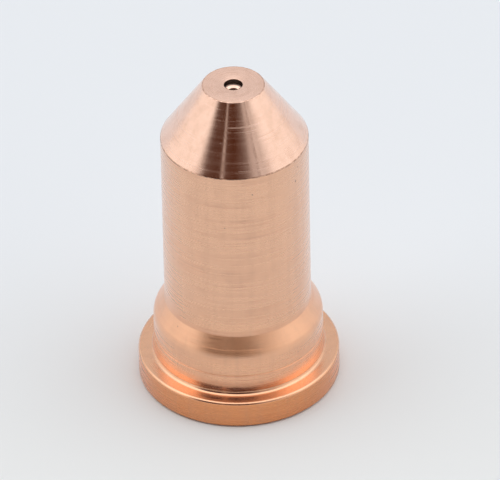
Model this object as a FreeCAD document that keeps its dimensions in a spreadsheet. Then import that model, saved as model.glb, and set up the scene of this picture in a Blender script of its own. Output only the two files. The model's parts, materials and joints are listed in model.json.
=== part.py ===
import FreeCAD, Part
import math
import os
import Sketcher

# Plasma torch nozzle: one piece, turned and drilled from copper bar. All sizes are millimetres.
# +Z is the torch's axis and points out of the tip. z = 0 is the flange's underside.
# The bar is turned to the outer section, the gas chamber is bored from below, and the orifice is
# drilled from the tip. The bores come from what sits in them plus a named clearance, and every
# outer radius is a wall or a step outside them.

NODE = "nozzle"

SIZES = [
    # alias, value, what it is
    ("overall_length", 34.6, "underside of the flange to the tip face"),
    # bores, from the parts that sit in them
    ("electrode_radius", 4.8, "front of the electrode, which stands in the chamber"),
    ("gas_gap", 0.5, "ring of plasma gas between electrode and bore"),
    ("gas_ring_radius", 6.75, "nose of the swirl ring, which the flange's recess centres"),
    ("ring_clearance", 0.05, "running room round the swirl ring"),
    ("ring_seat_depth", 2.6, "depth of the recess for the swirl ring"),
    ("chamber_half_angle", 40, "cone of the chamber's front, degrees from the axis"),
    ("chamber_end_radius", 1.5, "flat at the end of the chamber"),
    ("tip_wall", 3.45, "chamber's end to the tip face"),
    ("orifice_diameter", 1.1, "hole that throttles the arc"),
    ("counterbore_diameter", 1.85, "relief round the orifice's exit"),
    ("counterbore_depth", 0.6, "straight wall of that relief"),
    ("drill_point_angle", 118, "included angle of the relief's floor, degrees"),
    # outside, from the flange up
    ("flange_height", 2.93, "thickness of the flange"),
    ("flange_ledge", 1.52, "width that the retaining cap clamps"),
    ("land_step", 0.06, "guide land's radius beyond the neck's"),
    ("land_length", 2.25, "guide land, which centres the retaining cap"),
    ("neck_step", 1.145, "neck's radius beyond the body's"),
    ("neck_length", 2.25, "guide land to the flare's lower corner"),
    ("flare_half_angle", 33, "flare, degrees from the axis"),
    ("body_wall", 1.975, "wall of the long body"),
    ("nose_length", 6.2, "cone of the nose, along the axis"),
    ("tip_radius", 3.05, "flat tip face"),
    # edges
    ("flange_base_chamfer", 0.25, "underside edge of the flange"),
    ("flange_rim_round", 0.28, "top edge of the flange"),
    ("land_foot_fillet", 0.4, "corner between the land and the flange"),
    ("neck_top_round", 1.5, "edge between the neck and the flare"),
    ("body_foot_fillet", 0.25, "corner between the flare and the body"),
    ("nose_edge_break", 0.08, "edge between the body and the nose"),
    ("tip_edge_break", 0.12, "edge of the tip face"),
    ("mouth_chamfer", 0.3, "lead-ins of the ring seat and the bore"),
    ("throat_chamfer", 0.35, "lead-in from the chamber to the orifice"),
]

BORE_RADIUS = "sizes.electrode_radius + sizes.gas_gap"
SEAT_RADIUS = "sizes.gas_ring_radius + sizes.ring_clearance"
BODY_RADIUS = BORE_RADIUS + " + sizes.body_wall"
NECK_RADIUS = BODY_RADIUS + " + sizes.neck_step"
LAND_RADIUS = NECK_RADIUS + " + sizes.land_step"
FLANGE_RADIUS = LAND_RADIUS + " + sizes.flange_ledge"


class Outline:
    """A closed half section in a sketch, with named corners that go round in order."""

    def __init__(self, sketch, corners):
        self.sketch = sketch
        names = [name for name, _, _ in corners]
        points = [FreeCAD.Vector(radius, height, 0) for _, radius, height in corners]
        following = points[1:] + points[:1]
        self.line = {name: index for index, name in enumerate(names)}
        sketch.addGeometry([Part.LineSegment(a, b) for a, b in zip(points, following)], False)
        last = len(points) - 1
        for index in range(last):
            self.tie("Coincident", index, 2, index + 1, 1)
        self.tie("Coincident", last, 2, 0, 1)
        self.tie("Coincident", 0, 1, -1, 1)

    def tie(self, *terms):
        return self.sketch.addConstraint(Sketcher.Constraint(*terms))

    def bind(self, label, expression, *terms):
        self.sketch.renameConstraint(self.tie(*terms), label)
        self.sketch.setExpression("Constraints." + label, expression)

    def level(self, *corners):
        """The line from each of these corners to the next is square to the axis."""
        for corner in corners:
            self.tie("Horizontal", self.line[corner])

    def upright(self, *corners):
        """The line from each of these corners to the next runs along the axis."""
        for corner in corners:
            self.tie("Vertical", self.line[corner])

    def radius(self, corner, expression):
        start = self.place(corner).x
        self.bind(corner + "_radius", expression, "DistanceX", -1, 1, self.line[corner], 1, start)

    def height(self, corner, expression):
        start = self.place(corner).y
        self.bind(corner + "_height", expression, "DistanceY", -1, 1, self.line[corner], 1, start)

    def rise(self, corner, expression):
        """The line from this corner to the next rises by this much."""
        line = self.line[corner]
        start = self.sketch.getPoint(line, 2).y - self.place(corner).y
        self.bind(corner + "_rise", expression, "DistanceY", line, 1, line, 2, start)

    def lean(self, corner, expression):
        """The line from this corner to the next leans in to the axis by this many degrees."""
        line = self.line[corner]
        run = self.sketch.getPoint(line, 2) - self.place(corner)
        angle = f"(90 + {expression}) * 1 deg"
        self.bind(corner + "_lean", angle, "Angle", line, math.atan2(run.y, run.x))

    def place(self, corner):
        """The corner's radius and height, as the vector's x and y."""
        return self.sketch.getPoint(self.line[corner], 1)


def make_sheet(doc):
    sheet = doc.addObject("Spreadsheet::Sheet", "sizes")
    for row, (alias, value, meaning) in enumerate(SIZES, start=1):
        sheet.set(f"A{row}", meaning)
        sheet.set(f"B{row}", str(value))
        sheet.setAlias(f"B{row}", alias)
    return sheet


def new_sketch(body, name, plane):
    sketch = body.newObject("Sketcher::SketchObject", name)
    base = next(item for item in body.Origin.OriginFeatures if item.Role == plane)
    sketch.AttachmentSupport = (base, "")
    sketch.MapMode = "FlatFace"
    return sketch


def spin(body, kind, name, outline):
    """A Revolution adds the outline's full turn about the axis, and a Groove cuts it."""
    feature = body.newObject("PartDesign::" + kind, name)
    feature.Profile = outline.sketch
    feature.ReferenceAxis = (outline.sketch, ["V_Axis"])
    feature.Angle = 360
    outline.sketch.Visibility = False
    return feature


def outer_section(body):
    corners = [
        ("foot_centre", 0, 0),
        ("flange_foot", 10, 0),
        ("flange_rim", 10, 3),
        ("land_foot", 8.5, 3),
        ("land_top", 8.5, 5),
        ("neck_foot", 8.4, 5),
        ("neck_top", 8.4, 7.5),
        ("body_foot", 7.3, 9),
        ("nose_base", 7.3, 28),
        ("tip_rim", 3, 34),
        ("tip_centre", 0, 34),
    ]
    outline = Outline(new_sketch(body, "outer_section", "XZ_Plane"), corners)
    outline.level("foot_centre", "flange_rim", "land_top", "tip_rim")
    outline.upright("flange_foot", "land_foot", "neck_foot", "body_foot", "tip_centre")
    outline.radius("flange_foot", FLANGE_RADIUS)
    outline.rise("flange_foot", "sizes.flange_height")
    outline.radius("land_foot", LAND_RADIUS)
    outline.rise("land_foot", "sizes.land_length")
    outline.radius("neck_foot", NECK_RADIUS)
    outline.rise("neck_foot", "sizes.neck_length")
    outline.lean("neck_top", "sizes.flare_half_angle")
    outline.radius("body_foot", BODY_RADIUS)
    outline.rise("nose_base", "sizes.nose_length")
    outline.radius("tip_rim", "sizes.tip_radius")
    outline.height("tip_centre", "sizes.overall_length")
    return outline


def chamber_section(body):
    corners = [
        ("foot_centre", 0, 0),
        ("seat_mouth", 6.8, 0),
        ("seat_root", 6.8, 2.6),
        ("bore_mouth", 5.3, 2.6),
        ("bore_end", 5.3, 26),
        ("cone_end", 1.5, 31),
        ("end_centre", 0, 31),
    ]
    outline = Outline(new_sketch(body, "chamber_section", "XZ_Plane"), corners)
    outline.level("foot_centre", "seat_root", "cone_end")
    outline.upright("seat_mouth", "bore_mouth", "end_centre")
    outline.radius("seat_mouth", SEAT_RADIUS)
    outline.rise("seat_mouth", "sizes.ring_seat_depth")
    outline.radius("bore_mouth", BORE_RADIUS)
    outline.lean("bore_end", "sizes.chamber_half_angle")
    outline.radius("cone_end", "sizes.chamber_end_radius")
    outline.height("end_centre", "sizes.overall_length - sizes.tip_wall")
    return outline


def drill_orifice(body):
    """One stepped drilling from the tip face: the relief, its cone floor, and the orifice."""
    sketch = new_sketch(body, "orifice_centre", "XY_Plane")
    sketch.setExpression("AttachmentOffset.Base.z", "sizes.overall_length")
    sketch.addGeometry(Part.Circle(FreeCAD.Vector(0, 0, 0), FreeCAD.Vector(0, 0, 1), 0.5), False)
    sketch.addConstraint(Sketcher.Constraint("Coincident", 0, 3, -1, 1))
    sketch.addConstraint(Sketcher.Constraint("Diameter", 0, 1.0))
    sketch.setExpression("Constraints[1]", "sizes.orifice_diameter")
    body.Document.recompute()
    hole = body.newObject("PartDesign::Hole", "orifice")
    hole.Profile = sketch
    sketch.Visibility = False
    hole.DepthType = "ThroughAll"
    hole.DrillPoint = "Flat"
    hole.HoleCutType = "Counterdrill"
    hole.HoleCutCustomValues = True
    hole.setExpression("Diameter", "sizes.orifice_diameter")
    hole.setExpression("HoleCutDiameter", "sizes.counterbore_diameter")
    hole.setExpression("HoleCutDepth", "sizes.counterbore_depth")
    hole.setExpression("HoleCutCountersinkAngle", "sizes.drill_point_angle")
    return hole


def ring_edge(feature, radius, height):
    """The name of the circular edge at this radius and height."""
    for number, edge in enumerate(feature.Shape.Edges, start=1):
        if not isinstance(edge.Curve, Part.Circle):
            continue
        at_radius = math.isclose(edge.Curve.Radius, radius, abs_tol=1e-5)
        at_height = math.isclose(edge.Curve.Center.z, height, abs_tol=1e-5)
        if at_radius and at_height:
            return f"Edge{number}"
    raise ValueError(f"{feature.Name} has no edge of radius {radius} at height {height}")


def dress(body, kind, name, size, corners):
    """A Fillet or Chamfer on the edges at these corners, each given as radius and height."""
    body.Document.recompute()
    base = body.Tip
    feature = body.newObject("PartDesign::" + kind, name)
    feature.Base = (base, [ring_edge(base, corner.x, corner.y) for corner in corners])
    feature.setExpression("Radius" if kind == "Fillet" else "Size", "sizes." + size)


def make_nozzle(doc, sheet):
    body = doc.addObject("PartDesign::Body", NODE)
    body.Label = NODE
    outer = outer_section(body)
    blank = spin(body, "Revolution", "turned_blank", outer)
    chamber = chamber_section(body)
    cavity = spin(body, "Groove", "gas_chamber", chamber)
    orifice = drill_orifice(body)
    doc.recompute()
    for cut, before in ((cavity, blank), (orifice, cavity)):
        if not cut.Shape.Volume < before.Shape.Volume:
            raise RuntimeError(f"{cut.Name} removed nothing")
    throat = FreeCAD.Vector(sheet.get("orifice_diameter") / 2, chamber.place("cone_end").y, 0)
    dress(body, "Chamfer", "base_edge", "flange_base_chamfer", [outer.place("flange_foot")])
    dress(body, "Fillet", "rim_edge", "flange_rim_round", [outer.place("flange_rim")])
    dress(body, "Fillet", "land_root", "land_foot_fillet", [outer.place("land_foot")])
    dress(body, "Fillet", "neck_edge", "neck_top_round", [outer.place("neck_top")])
    dress(body, "Fillet", "body_root", "body_foot_fillet", [outer.place("body_foot")])
    dress(body, "Fillet", "nose_edge", "nose_edge_break", [outer.place("nose_base")])
    dress(body, "Fillet", "tip_edge", "tip_edge_break", [outer.place("tip_rim")])
    mouths = [chamber.place("seat_mouth"), chamber.place("bore_mouth")]
    dress(body, "Chamfer", "mouth_edges", "mouth_chamfer", mouths)
    dress(body, "Chamfer", "throat_edge", "throat_chamfer", [throat])
    doc.recompute()
    return body


def check(doc, body):
    for item in doc.Objects:
        if {"Invalid", "Error"} & set(item.State):
            raise RuntimeError(f"{item.Name} failed: {item.State}")
    shape = body.Shape
    if shape.isNull() or not shape.isValid() or len(shape.Solids) != 1:
        raise RuntimeError(f"{body.Label} is not one valid solid")
    box = shape.BoundBox
    print(f"{body.Label}: {box.XLength:.3f} x {box.YLength:.3f} x {box.ZLength:.3f} mm")
    print(f"volume {shape.Volume:.2f} mm3, area {shape.Area:.2f} mm2, {len(shape.Faces)} faces")


doc = FreeCAD.newDocument("plasma_nozzle")
sheet = make_sheet(doc)
doc.recompute()
nozzle = make_nozzle(doc, sheet)
check(doc, nozzle)
os.makedirs("parts", exist_ok=True)
nozzle.Shape.exportStep(f"parts/{NODE}.step")
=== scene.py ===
# %% [markdown]
# # A copper nozzle for a plasma torch
#
# The object is one turned piece of copper, 34.6 mm tall: a flat tip with the
# arc's orifice, a conical nose, a long straight body, a flare, a neck and a
# flange. It is hollow from below, where the electrode stands.
#
# The packed model is loaded first. Its box and its stated bores and faces give
# the sizes, so what is turned here fits where the measured solid is.

# %% Load the measured model
import json
import math

import bmesh
import bpy
from mathutils import Matrix, Vector


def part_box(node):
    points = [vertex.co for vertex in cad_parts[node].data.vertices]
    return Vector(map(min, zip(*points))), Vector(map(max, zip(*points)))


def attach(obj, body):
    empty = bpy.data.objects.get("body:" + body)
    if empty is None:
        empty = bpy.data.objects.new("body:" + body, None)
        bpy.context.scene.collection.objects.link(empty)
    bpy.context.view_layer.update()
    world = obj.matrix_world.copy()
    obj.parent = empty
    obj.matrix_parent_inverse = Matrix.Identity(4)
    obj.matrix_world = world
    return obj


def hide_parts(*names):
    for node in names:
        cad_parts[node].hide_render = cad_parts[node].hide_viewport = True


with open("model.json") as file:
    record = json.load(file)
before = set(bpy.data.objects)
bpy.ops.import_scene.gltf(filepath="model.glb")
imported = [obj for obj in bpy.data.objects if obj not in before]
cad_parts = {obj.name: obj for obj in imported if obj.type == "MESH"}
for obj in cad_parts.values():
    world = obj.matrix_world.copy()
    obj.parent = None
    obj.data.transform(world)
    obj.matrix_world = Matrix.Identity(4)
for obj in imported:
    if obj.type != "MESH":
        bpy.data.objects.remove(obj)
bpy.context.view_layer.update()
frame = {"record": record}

MM = 0.001
low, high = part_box("nozzle")
mounts = {m["name"]: m for m in frame["record"]["mounts"]}
print("nozzle box in mm:", [round(v / MM, 2) for v in (*low, *high)])

# %% [markdown]
# ## The half section
#
# A turned part is fully described by one half of its section: the corners that
# the cutting tool passes, each a radius and a height. The sizes that other
# parts depend on are read from the record, and the rest are written here in
# millimetres, as a drawing has them.

# %% Sizes from the record and the drawing
def stated_radius(name):
    return mounts[name]["dims"]["r_mm"]


def stated_height(name):
    return mounts[name]["pos_m"][2] / MM


top = high.z / MM
flange_radius = high.x / MM
flange_top = stated_height("cap_ledge")
land_radius = stated_radius("cap_land")
body_radius = stated_radius("body")
bore_radius = stated_radius("electrode_bore")
seat_radius = stated_radius("ring_seat")

land_step = 0.06
neck_radius = land_radius - land_step
land_top = 5.18
flare_foot = 7.43
flare_top = 9.19
nose_height = 6.2
nose_base = top - nose_height
tip_radius = 3.05
relief_radius = 0.925
relief_depth = 0.6
orifice_radius = 0.55
relief_floor = top - relief_depth
drill_half_angle = math.radians(59)
drill_foot = relief_floor - (relief_radius - orifice_radius) / math.tan(drill_half_angle)
seat_depth = 2.6
tip_wall = 3.45
chamber_top = top - tip_wall
chamber_end_radius = 1.5
chamber_half_angle = math.radians(40)
bore_end = chamber_top - (bore_radius - chamber_end_radius) / math.tan(chamber_half_angle)

# Each corner: name, radius, height, how far its rounding or chamfer reaches
# along each side, and how many flat strips round it off (1 is a chamfer).
corners = [
    ("relief mouth", relief_radius, top, 0.03, 3),
    ("tip edge", tip_radius, top, 0.06, 5),
    ("nose base", body_radius, nose_base, 0.03, 4),
    ("body foot", body_radius, flare_top, 0.075, 5),
    ("neck top", neck_radius, flare_foot, 0.445, 16),
    ("ring line, inner", neck_radius, land_top, 0.012, 2),
    ("ring line, outer", land_radius, land_top, 0.02, 3),
    ("land foot", land_radius, flange_top, 0.4, 12),
    ("flange rim", flange_radius, flange_top, 0.28, 12),
    ("flange base", flange_radius, 0.0, 0.25, 1),
    ("seat mouth", seat_radius, 0.0, 0.3, 1),
    ("seat floor", seat_radius, seat_depth, 0.05, 3),
    ("bore mouth", bore_radius, seat_depth, 0.3, 1),
    ("bore end", bore_radius, bore_end, 0.1, 3),
    ("chamber end", chamber_end_radius, chamber_top, 0.05, 3),
    ("throat", orifice_radius, chamber_top, 0.35, 1),
    ("drill point", orifice_radius, drill_foot, 0.02, 2),
    ("relief floor", relief_radius, relief_floor, 0.02, 2),
]
print(len(corners), "corners; wall at the body", round(body_radius - bore_radius, 3), "mm")

# %% [markdown]
# ## Turning it
#
# The section could be revolved by hand-written loops of vertices, but Blender's
# spin operator does what a lathe does: it sweeps the section once round the
# axis. The section is spun with sharp corners, and each ring edge is then
# rounded or chamfered by its own amount, as a turner breaks edges last.

# %% Spin the section and dress its edges
TURN_STEPS = 224
MERGE_DISTANCE = 1e-7
ON_RING = 2e-6  # how close to a ring a vertex counts as on it, in metres


def spin_section(section):
    mesh = bmesh.new()
    points = [mesh.verts.new((radius * MM, 0.0, height * MM)) for _, radius, height, _, _ in section]
    edges = [mesh.edges.new((points[i - 1], points[i])) for i in range(len(points))]
    bmesh.ops.spin(mesh, geom=points + edges, cent=(0, 0, 0), axis=(0, 0, 1),
                   angle=math.tau, steps=TURN_STEPS, use_merge=True, use_duplicate=False)
    bmesh.ops.remove_doubles(mesh, verts=mesh.verts, dist=MERGE_DISTANCE)
    bmesh.ops.recalc_face_normals(mesh, faces=mesh.faces)
    return mesh


def dress_ring(mesh, radius, height, reach, strips):
    def on_ring(vert):
        return (abs(math.hypot(vert.co.x, vert.co.y) - radius * MM) < ON_RING
                and abs(vert.co.z - height * MM) < ON_RING)

    rim = [e for e in mesh.edges if on_ring(e.verts[0]) and on_ring(e.verts[1])]
    bmesh.ops.bevel(mesh, geom=rim, offset=reach * MM, offset_type="OFFSET", affect="EDGES",
                    segments=strips, profile=0.5, material=-1, clamp_overlap=True)
    return len(rim)


turned = spin_section(corners)
for name, radius, height, reach, strips in corners:
    count = dress_ring(turned, radius, height, reach, strips)
    print(f"{name}: {count} edges rounded over {reach} mm")

nozzle_mesh = bpy.data.meshes.new("turned_nozzle")
turned.to_mesh(nozzle_mesh)
print("volume", round(turned.calc_volume() * 1e9, 2), "mm3;", len(turned.faces), "faces")
turned.free()
nozzle_mesh.shade_smooth()
nozzle = bpy.data.objects.new("turned_nozzle", nozzle_mesh)
bpy.context.scene.collection.objects.link(nozzle)

# %% [markdown]
# ## Even shading
#
# Smooth shading blends the direction of neighbouring faces. On a long straight
# wall next to a tiny rounding that blend would bend the reflections of the whole
# wall. A Weighted Normal modifier lets the large faces decide, and its result is
# made part of the mesh.

# %% Let the large faces set the shading
even = nozzle.modifiers.new("even shading", "WEIGHTED_NORMAL")
even.mode = "FACE_AREA_WITH_ANGLE"
even.weight = 100
even.keep_sharp = False
bpy.context.view_layer.update()
depsgraph = bpy.context.evaluated_depsgraph_get()
shaded = bpy.data.meshes.new_from_object(
    nozzle.evaluated_get(depsgraph), preserve_all_data_layers=True, depsgraph=depsgraph)
nozzle.modifiers.clear()
nozzle.data = shaded
print("custom normals kept:", shaded.has_custom_normals)

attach(nozzle, "root")
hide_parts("nozzle")

# %% [markdown]
# ## Shader maths
#
# A procedural finish is mostly arithmetic on coordinates. Wiring each sum by hand
# is slow to read, so one small class wraps a node's output and turns Python
# arithmetic on it into Math nodes.

# %% A wire that can be calculated with
class Wire:
    """A node's output, on which arithmetic adds Math nodes."""

    def __init__(self, tree, socket):
        self.tree = tree
        self.socket = socket

    @classmethod
    def node(cls, tree, kind, settings=None, inputs=None, output=0):
        """Adds a node: its settings first, then the values or links of its sockets."""
        made = tree.nodes.new(kind)
        for name, value in (settings or {}).items():
            if name == "stops":
                ramp = made.color_ramp
                while len(ramp.elements) < len(value):
                    ramp.elements.new(0.5)
                for element, (place, colour) in zip(ramp.elements, value):
                    element.position = place
                    element.color = colour
            else:
                setattr(made, name, value)
        for name, value in (inputs or {}).items():
            if isinstance(value, Wire):
                tree.links.new(value.socket, made.inputs[name])
            else:
                made.inputs[name].default_value = value
        return cls(tree, made.outputs[output] if made.outputs else None)

    def parts(self):
        """The x, y and z of a vector, each a wire."""
        split = Wire.node(self.tree, "ShaderNodeSeparateXYZ", inputs={0: self}).socket.node
        return [Wire(self.tree, split.outputs[axis]) for axis in "XYZ"]

    def math(self, operation, *others):
        """A Math node on this and any others, in that order."""
        return Wire.node(self.tree, "ShaderNodeMath", {"operation": operation},
                         dict(enumerate((self, *others))))

    def __add__(self, other):
        return self.math("ADD", other)

    __radd__ = __add__

    def __mul__(self, other):
        return self.math("MULTIPLY", other)

    __rmul__ = __mul__

    def __sub__(self, other):
        return self.math("SUBTRACT", other)

    def __rsub__(self, other):
        return self.math("MULTIPLY", -1.0).math("ADD", other)

    def __truediv__(self, other):
        return self.math("DIVIDE", other)

    def __abs__(self):
        return self.math("ABSOLUTE")

    def ramp(self, start, end, low=0.0, high=1.0):
        """Eases from low to high while this goes from start to end."""
        return Wire.node(self.tree, "ShaderNodeMapRange", {"interpolation_type": "SMOOTHSTEP"},
                         {"Value": self, "From Min": start, "From Max": end,
                          "To Min": low, "To Max": high})

    def blend(self, first, second):
        """Mixes two colours by this."""
        return Wire.node(self.tree, "ShaderNodeMix", {"data_type": "RGBA"},
                         {0: self, 6: first, 7: second}, output=2)


print("a wire can be used with", [name for name in vars(Wire) if not name.startswith("_")])

# %% [markdown]
# ## Where the finish reads its place
#
# A turned surface varies along its section and hardly at all round it. So the
# finish reads the Object coordinates as a height and a radius in millimetres,
# and their difference, which grows steadily from the tip down to the flange,
# says how far along the section a point is.

# %% Height, radius and the way along the section
copper = bpy.data.materials.new("turned_copper")
copper.use_nodes = True
copper_tree = copper.node_tree
copper_tree.nodes.clear()

place = Wire.node(copper_tree, "ShaderNodeTexCoord", output="Object")
in_mm = Wire.node(copper_tree, "ShaderNodeVectorMath", {"operation": "SCALE"}, {0: place, 3: 1 / MM})
east, north, height = in_mm.parts()
radius = (east * east + north * north).math("SQRT")
along = radius - height


def grain(around, lengthwise, detail=2.0, shift=0.0, way=along):
    """Noise that is stretched round the axis: features per mm around and lengthwise."""
    spot = Wire.node(copper_tree, "ShaderNodeCombineXYZ", inputs={
        "X": east * around + shift, "Y": north * around, "Z": way * lengthwise})
    return Wire.node(copper_tree, "ShaderNodeTexNoise", inputs={
        "Vector": spot, "Scale": 1.0, "Detail": detail, "Roughness": 0.55}, output=0)


def near(value, middle, reach):
    """1 at the middle, easing to 0 at the reach."""
    return abs(value - middle).ramp(reach * 0.4, reach, 1.0, 0.0)


print(len(copper_tree.nodes), "nodes give the height, the radius and the way along")

# %% [markdown]
# ## Colour by zone
#
# The copper is one metal, painted in lit and shaded copies. The nose is painted
# palest, a painted highlight for the bright light that washes it out. The foot and
# the flange's side are painted a deeper orange, painted shade for the orange light
# that bounces between the copper and the floor beside it. Colours are set per zone
# and eased into one another, then varied by soft lengthwise streaks, which are a
# painted reflection of the uneven surroundings, and by patches of uneven oxide.

# %% Copper's colour
# The nose colour is a painted highlight, paler than the copper; the foot and rim colours are painted shade, a
# deeper orange for the bounce light near the floor.
NOSE_PAINTED_HIGHLIGHT = (0.98, 0.65, 0.515, 1.0)
BODY = (0.85, 0.455, 0.265, 1.0)
FOOT_PAINTED_SHADE = (0.88, 0.445, 0.235, 1.0)
RIM_PAINTED_SHADE = (0.78, 0.29, 0.09, 1.0)
TARNISH_AND_PAINTED_STREAKS = (0.55, 0.27, 0.15, 1.0)
PAINTED_RELIEF_SHADE = (0.035, 0.018, 0.012, 1.0)

on_nose = height.ramp(nose_base - 0.04, nose_base + 0.06)
below_ledge = height.ramp(2.6, 2.9, 1.0, 0.0)
on_rim = radius.ramp(flange_radius - 0.4, flange_radius - 0.1) * below_ledge
colour = height.ramp(6.5, 14.0).blend(FOOT_PAINTED_SHADE, BODY)
colour = on_nose.blend(colour, NOSE_PAINTED_HIGHLIGHT)
colour = on_rim.blend(colour, RIM_PAINTED_SHADE)

# The lengthwise streaks are painted reflection: soft darker bands for the uneven surroundings that the body
# mirrors. The patches are uneven oxide.
streaks = grain(1.3, 0.05, 3.0, way=height)
patches = grain(0.6, 0.5, 3.0, shift=7.0)
tarnish_and_painted_streaks = streaks.ramp(0.42, 0.72, 0.0, 0.16) + patches.ramp(0.45, 0.75, 0.0, 0.12)
colour = tarnish_and_painted_streaks.blend(colour, TARNISH_AND_PAINTED_STREAKS)
print("nose colour above", round(nose_base, 2), "mm, rim colour outside", round(flange_radius - 0.4, 2), "mm")

# %% [markdown]
# ## Turning marks
#
# The lathe tool leaves a fine spiral, seen as level lines. Wide lines come from
# noise stretched round the axis, fine ones from a second layer, and a few deeper
# marks are kept only where a patchy mask lets them through.

# %% Lines left by the tool
wide_lines = grain(0.06, 3.6, 3.0)
fine_lines = grain(0.15, 11.0, 2.0, shift=3.0)
scattered = grain(0.35, 0.35, 2.0, shift=12.0).ramp(0.5, 0.62)
deep_lines = grain(0.03, 5.0, 2.0, shift=20.0).ramp(0.56, 0.68) * scattered
colour = (deep_lines * 0.22).blend(colour, TARNISH_AND_PAINTED_STREAKS)
relief = wide_lines * 0.55 + fine_lines * 0.3 - deep_lines * 0.5
print(len(copper_tree.nodes), "nodes so far, with three kinds of line")

# %% [markdown]
# ## Nicks, burrs and painted shade in the orifice
#
# A few small nicks sit on the body and one on the flare, each placed by its turn
# round the axis and its height. The edges of the nose carry a thin broken burr, which is duller than
# the metal round it, and the wall of the orifice's relief is painted dark: painted shade for
# the dark that the deep relief and the bore reflect.

# %% Nicks on the body and the flare
NICKS = [  # turn round the axis in degrees, height and size in mm
    (54.0, 25.9, 0.16), (57.0, 27.4, 0.11), (56.5, 26.5, 0.07), (13.0, 26.4, 0.10),
    (-9.0, 22.5, 0.08), (-52.0, 8.7, 0.15),
]
FLARE_NICK_RADIUS = 7.7
NICK = (0.20, 0.09, 0.05, 1.0)


def nick_at(turn, level, size):
    """1 in a nick, easing to 0 at its edge."""
    out = FLARE_NICK_RADIUS if level < flare_top else body_radius
    spot = (out * math.sin(math.radians(turn)), -out * math.cos(math.radians(turn)), level)
    away = Wire.node(copper_tree, "ShaderNodeVectorMath", {"operation": "DISTANCE"},
                     {0: in_mm, 1: spot}, output="Value")
    return away.ramp(size * 0.35, size, 1.0, 0.0)


first, *others = [nick_at(*nick) for nick in NICKS]
nicked = sum(others, first)
colour = (nicked * 0.75).blend(colour, NICK)
relief = relief - nicked * 6.0
print(len(NICKS), "nicks")

# %% Burrs on the nose's two edges, and painted shade in the relief
BURR = (0.33, 0.14, 0.07, 1.0)
ragged = grain(2.2, 3.0, 2.0, shift=31.0).ramp(0.38, 0.6, 0.25, 1.0)
burr = near(height, nose_base, 0.11) * radius.ramp(body_radius - 0.275, body_radius - 0.125) * ragged
tip_burr = near(radius, tip_radius - 0.02, 0.09) * height.ramp(top - 0.3, top - 0.1) * ragged
colour = (burr * 0.8 + tip_burr * 0.55).blend(colour, BURR)

# The relief's wall and the outer edge of its floor are painted near-black, as painted shade for the dark that
# the deep relief reflects.
in_relief = radius.ramp(relief_radius + 0.005, relief_radius + 0.045, 1.0, 0.0)
above_floor = height.ramp(relief_floor, relief_floor + 0.06)
below_mouth = height.ramp(top - 0.08, top - 0.02, 1.0, 0.0)
under_floor = height.ramp(relief_floor, relief_floor + 0.06, 0.85, 0.0)
floor_edge = radius.ramp(0.74, 0.9) * near(height, relief_floor - 0.07, 0.3) * under_floor
painted_shade_in_relief = in_relief * (above_floor * below_mouth + floor_edge)
colour = painted_shade_in_relief.blend(colour, PAINTED_RELIEF_SHADE)
print("soot from", round(relief_floor, 2), "mm up, inside radius", relief_radius, "mm")

# %% [markdown]
# ## Gloss
#
# Circular tool marks spread a reflection across them, so the metal is anisotropic,
# turned a quarter to stretch up and down. The nose is the smoothest. The tool lines
# vary the roughness too, which is what makes them show in a reflection. A thin coat
# stands for the film of oil and oxide that pales the metal where it turns away.

# %% Put the finish together
ROUGH_BODY, ROUGH_NOSE = 0.30, 0.15
FILM_BODY, FILM_NOSE = 1.0, 0.4
flare_middle = 8.4
corner = land_radius - flange_top + 0.4

rough = height.ramp(nose_base - 0.1, nose_base + 0.1, ROUGH_BODY, ROUGH_NOSE)
rough = rough + height.ramp(top - 0.1, top - 0.04, 0.0, 0.08)
rough = rough - near(along, corner, 1.9) * 0.17 + near(height, flare_middle, 1.6) * 0.12
rough = rough + (patches - 0.5) * 0.10 + painted_shade_in_relief * 0.4
lined = wide_lines.ramp(0.42, 0.66) * 0.16 + fine_lines.ramp(0.45, 0.7) * 0.12 - 0.06
rough = rough + lined * scattered.ramp(0.0, 1.0, 0.7, 1.3)
film = height.ramp(nose_base - 0.1, nose_base + 0.1, FILM_BODY, FILM_NOSE) - on_rim * 0.4

BUMP_DISTANCE = 8e-6
bump = Wire.node(copper_tree, "ShaderNodeBump", inputs={
    "Strength": 1.0, "Distance": BUMP_DISTANCE, "Height": relief})
bsdf = Wire.node(copper_tree, "ShaderNodeBsdfPrincipled", inputs={
    "Base Color": colour, "Metallic": 1.0, "Roughness": rough, "Anisotropic": 0.6,
    "Anisotropic Rotation": 0.25, "Coat Weight": film, "Coat Roughness": 0.3, "Coat IOR": 2.0,
    "Normal": bump})
Wire.node(copper_tree, "ShaderNodeOutputMaterial", inputs={"Surface": bsdf})
nozzle.data.materials.clear()
nozzle.data.materials.append(copper)
print(len(copper_tree.nodes), "nodes in the copper")

# %% [markdown]
# ## The floor
#
# The nozzle stands on a pale matt sheet, wide enough to fill every view. One disc
# does it, and a matt surface keeps the soft shadow round the flange. The paper is
# a little bluer behind the nozzle than in front of it.

# %% A pale sheet to stand on
FLOOR_RADIUS = 6.0  # metres
sheet = bmesh.new()
bmesh.ops.create_circle(sheet, cap_ends=True, radius=FLOOR_RADIUS, segments=64)
floor_mesh = bpy.data.meshes.new("pale_sheet")
sheet.to_mesh(floor_mesh)
sheet.free()
floor = bpy.data.objects.new("pale_sheet", floor_mesh)
bpy.context.scene.collection.objects.link(floor)

paper = bpy.data.materials.new("pale_paper")
paper.use_nodes = True
paper_tree = paper.node_tree
paper_tree.nodes.clear()

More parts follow.
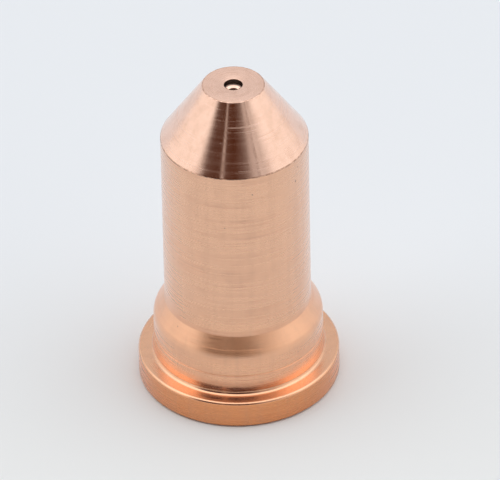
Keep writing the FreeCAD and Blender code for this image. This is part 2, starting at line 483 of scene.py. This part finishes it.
FRONT_PAPER = (0.80, 0.83, 0.845, 1.0)
BACK_PAPER = (0.785, 0.825, 0.87, 1.0)
_, far, _ = Wire.node(paper_tree, "ShaderNodeTexCoord", output="Object").parts()
shade = far.ramp(-20 * MM, 30 * MM).blend(FRONT_PAPER, BACK_PAPER)
diffuse = Wire.node(paper_tree, "ShaderNodeBsdfDiffuse", inputs={"Color": shade})
Wire.node(paper_tree, "ShaderNodeOutputMaterial", inputs={"Surface": diffuse})
floor_mesh.materials.append(paper)
print("floor", 2 * FLOOR_RADIUS, "m across")

# %% [markdown]
# ## The light
#
# Polished metal shows its surroundings more than its own colour. So the world is
# drawn as a light tent: white all round, brighter overhead and at the two sides,
# greyer behind, with a dark opening in front. The opening is uneven, because things
# stand in it, and the nose, the flare and the neck's foot reflect it as dark bands.
# The camera itself sees a plain backdrop.

# %% Directions round the nozzle, in degrees
world = bpy.data.worlds.new("light_tent")
bpy.context.scene.world = world
world.use_nodes = True
world_tree = world.node_tree
world_tree.nodes.clear()

DEGREE = math.radians(1.0)
sideways, forwards, up = Wire.node(world_tree, "ShaderNodeTexCoord", output="Generated").parts()
rise = up.math("ARCSINE") / DEGREE
turn = sideways.math("ARCTAN2", 0.0 - forwards) / DEGREE

# %% The dark opening in front
SHADE_BY_TURN = [  # degrees from the front, and how dark the surroundings are there
    (-76, 0.0), (-65, 0.15), (-57, 0.7), (-49, 0.96), (-38, 0.98), (-24, 1.0), (-21.5, 0.55),
    (-20, 0.55), (-17, 0.98), (0, 1.0), (12, 0.95), (22, 0.85), (28, 0.62), (34, 0.52),
    (38, 0.75), (41, 0.36), (47, 0.5), (56, 0.32), (66, 0.16), (80, 0.0),
]
stops = [(0.5 + degrees / 180, (dark, dark, dark, 1.0)) for degrees, dark in SHADE_BY_TURN]
widen = rise.ramp(18.0, 30.0, 1.2, 1.0)
across = Wire.node(world_tree, "ShaderNodeValToRGB", {"stops": stops}, {"Fac": turn * widen / 180 + 0.5})
opening = across * (rise.ramp(-12.0, -4.0) * rise.ramp(48.0, 58.0, 1.0, 0.0))
print(len(stops), "shades across the opening")

# %% The tent, and the backdrop that the camera sees
TENT = (1.02, 1.0, 0.96, 1.0)
OVERHEAD = (1.32, 1.32, 1.32, 1.0)
SIDE_BOXES = (1.5, 1.5, 1.5, 1.0)
BEHIND = (0.74, 0.73, 0.73, 1.0)
OPENING = (0.07, 0.017, 0.0, 1.0)
BACKDROP = (0.82, 0.86, 0.90, 1.0)

behind = abs(turn).ramp(105.0, 150.0) * rise.ramp(42.0, 62.0, 1.0, 0.0)
side_boxes = abs(abs(turn) - 95.0).ramp(30.0, 50.0, 1.0, 0.0) * rise.ramp(22.0, 34.0)
tent = rise.ramp(22.0, 50.0).blend(TENT, OVERHEAD)
tent = side_boxes.blend(tent, SIDE_BOXES)
tent = behind.blend(tent, BEHIND)
tent = opening.blend(tent, OPENING)
reflected = Wire.node(world_tree, "ShaderNodeBackground", inputs={"Color": tent, "Strength": 1.0})
backdrop = Wire.node(world_tree, "ShaderNodeBackground", inputs={"Color": BACKDROP, "Strength": 1.0})
seen = Wire.node(world_tree, "ShaderNodeLightPath", output="Is Camera Ray")
either = Wire.node(world_tree, "ShaderNodeMixShader", inputs={0: seen, 1: reflected, 2: backdrop})
Wire.node(world_tree, "ShaderNodeOutputWorld", inputs={"Surface": either})
print(len(world_tree.nodes), "nodes in the tent")

# %% [markdown]
# ## The camera
#
# A long lens from well back flattens the perspective, which suits a small part. It
# looks down at 36.8 degrees, so that the tip face and the flange's top both show,
# and it aims a little beside the axis, near half height.

# %% A long lens, looking down
CAMERA_RISE = math.radians(36.784)
CAMERA_ROLL = math.radians(-1.187)
CAMERA_DISTANCE = 874 * MM
LENS_PER_SENSOR = 17.7  # how many sensor widths long the lens is
aim = Vector((1.318, 0.0, 15.63)) * MM
lens = bpy.data.cameras.new("long_lens")
lens.sensor_width = 36.0
lens.lens = lens.sensor_width * LENS_PER_SENSOR
lens.clip_start, lens.clip_end = 0.05, 50.0
camera = bpy.data.objects.new("long_lens", lens)
bpy.context.scene.collection.objects.link(camera)
camera.location = aim + Vector((0, -math.cos(CAMERA_RISE), math.sin(CAMERA_RISE))) * CAMERA_DISTANCE
camera.rotation_euler = (Matrix.Rotation(math.pi / 2 - CAMERA_RISE, 3, "X")
                         @ Matrix.Rotation(CAMERA_ROLL, 3, "Z")).to_euler()
bpy.context.scene.camera = camera
bpy.context.scene.view_settings.view_transform = "Standard"
print("lens", round(lens.lens, 1), "mm, from", round(CAMERA_DISTANCE / MM), "mm away")

# %% [markdown]
# ## The size, once more
#
# The turned mesh stands in for the measured solid, so the two boxes have to agree.
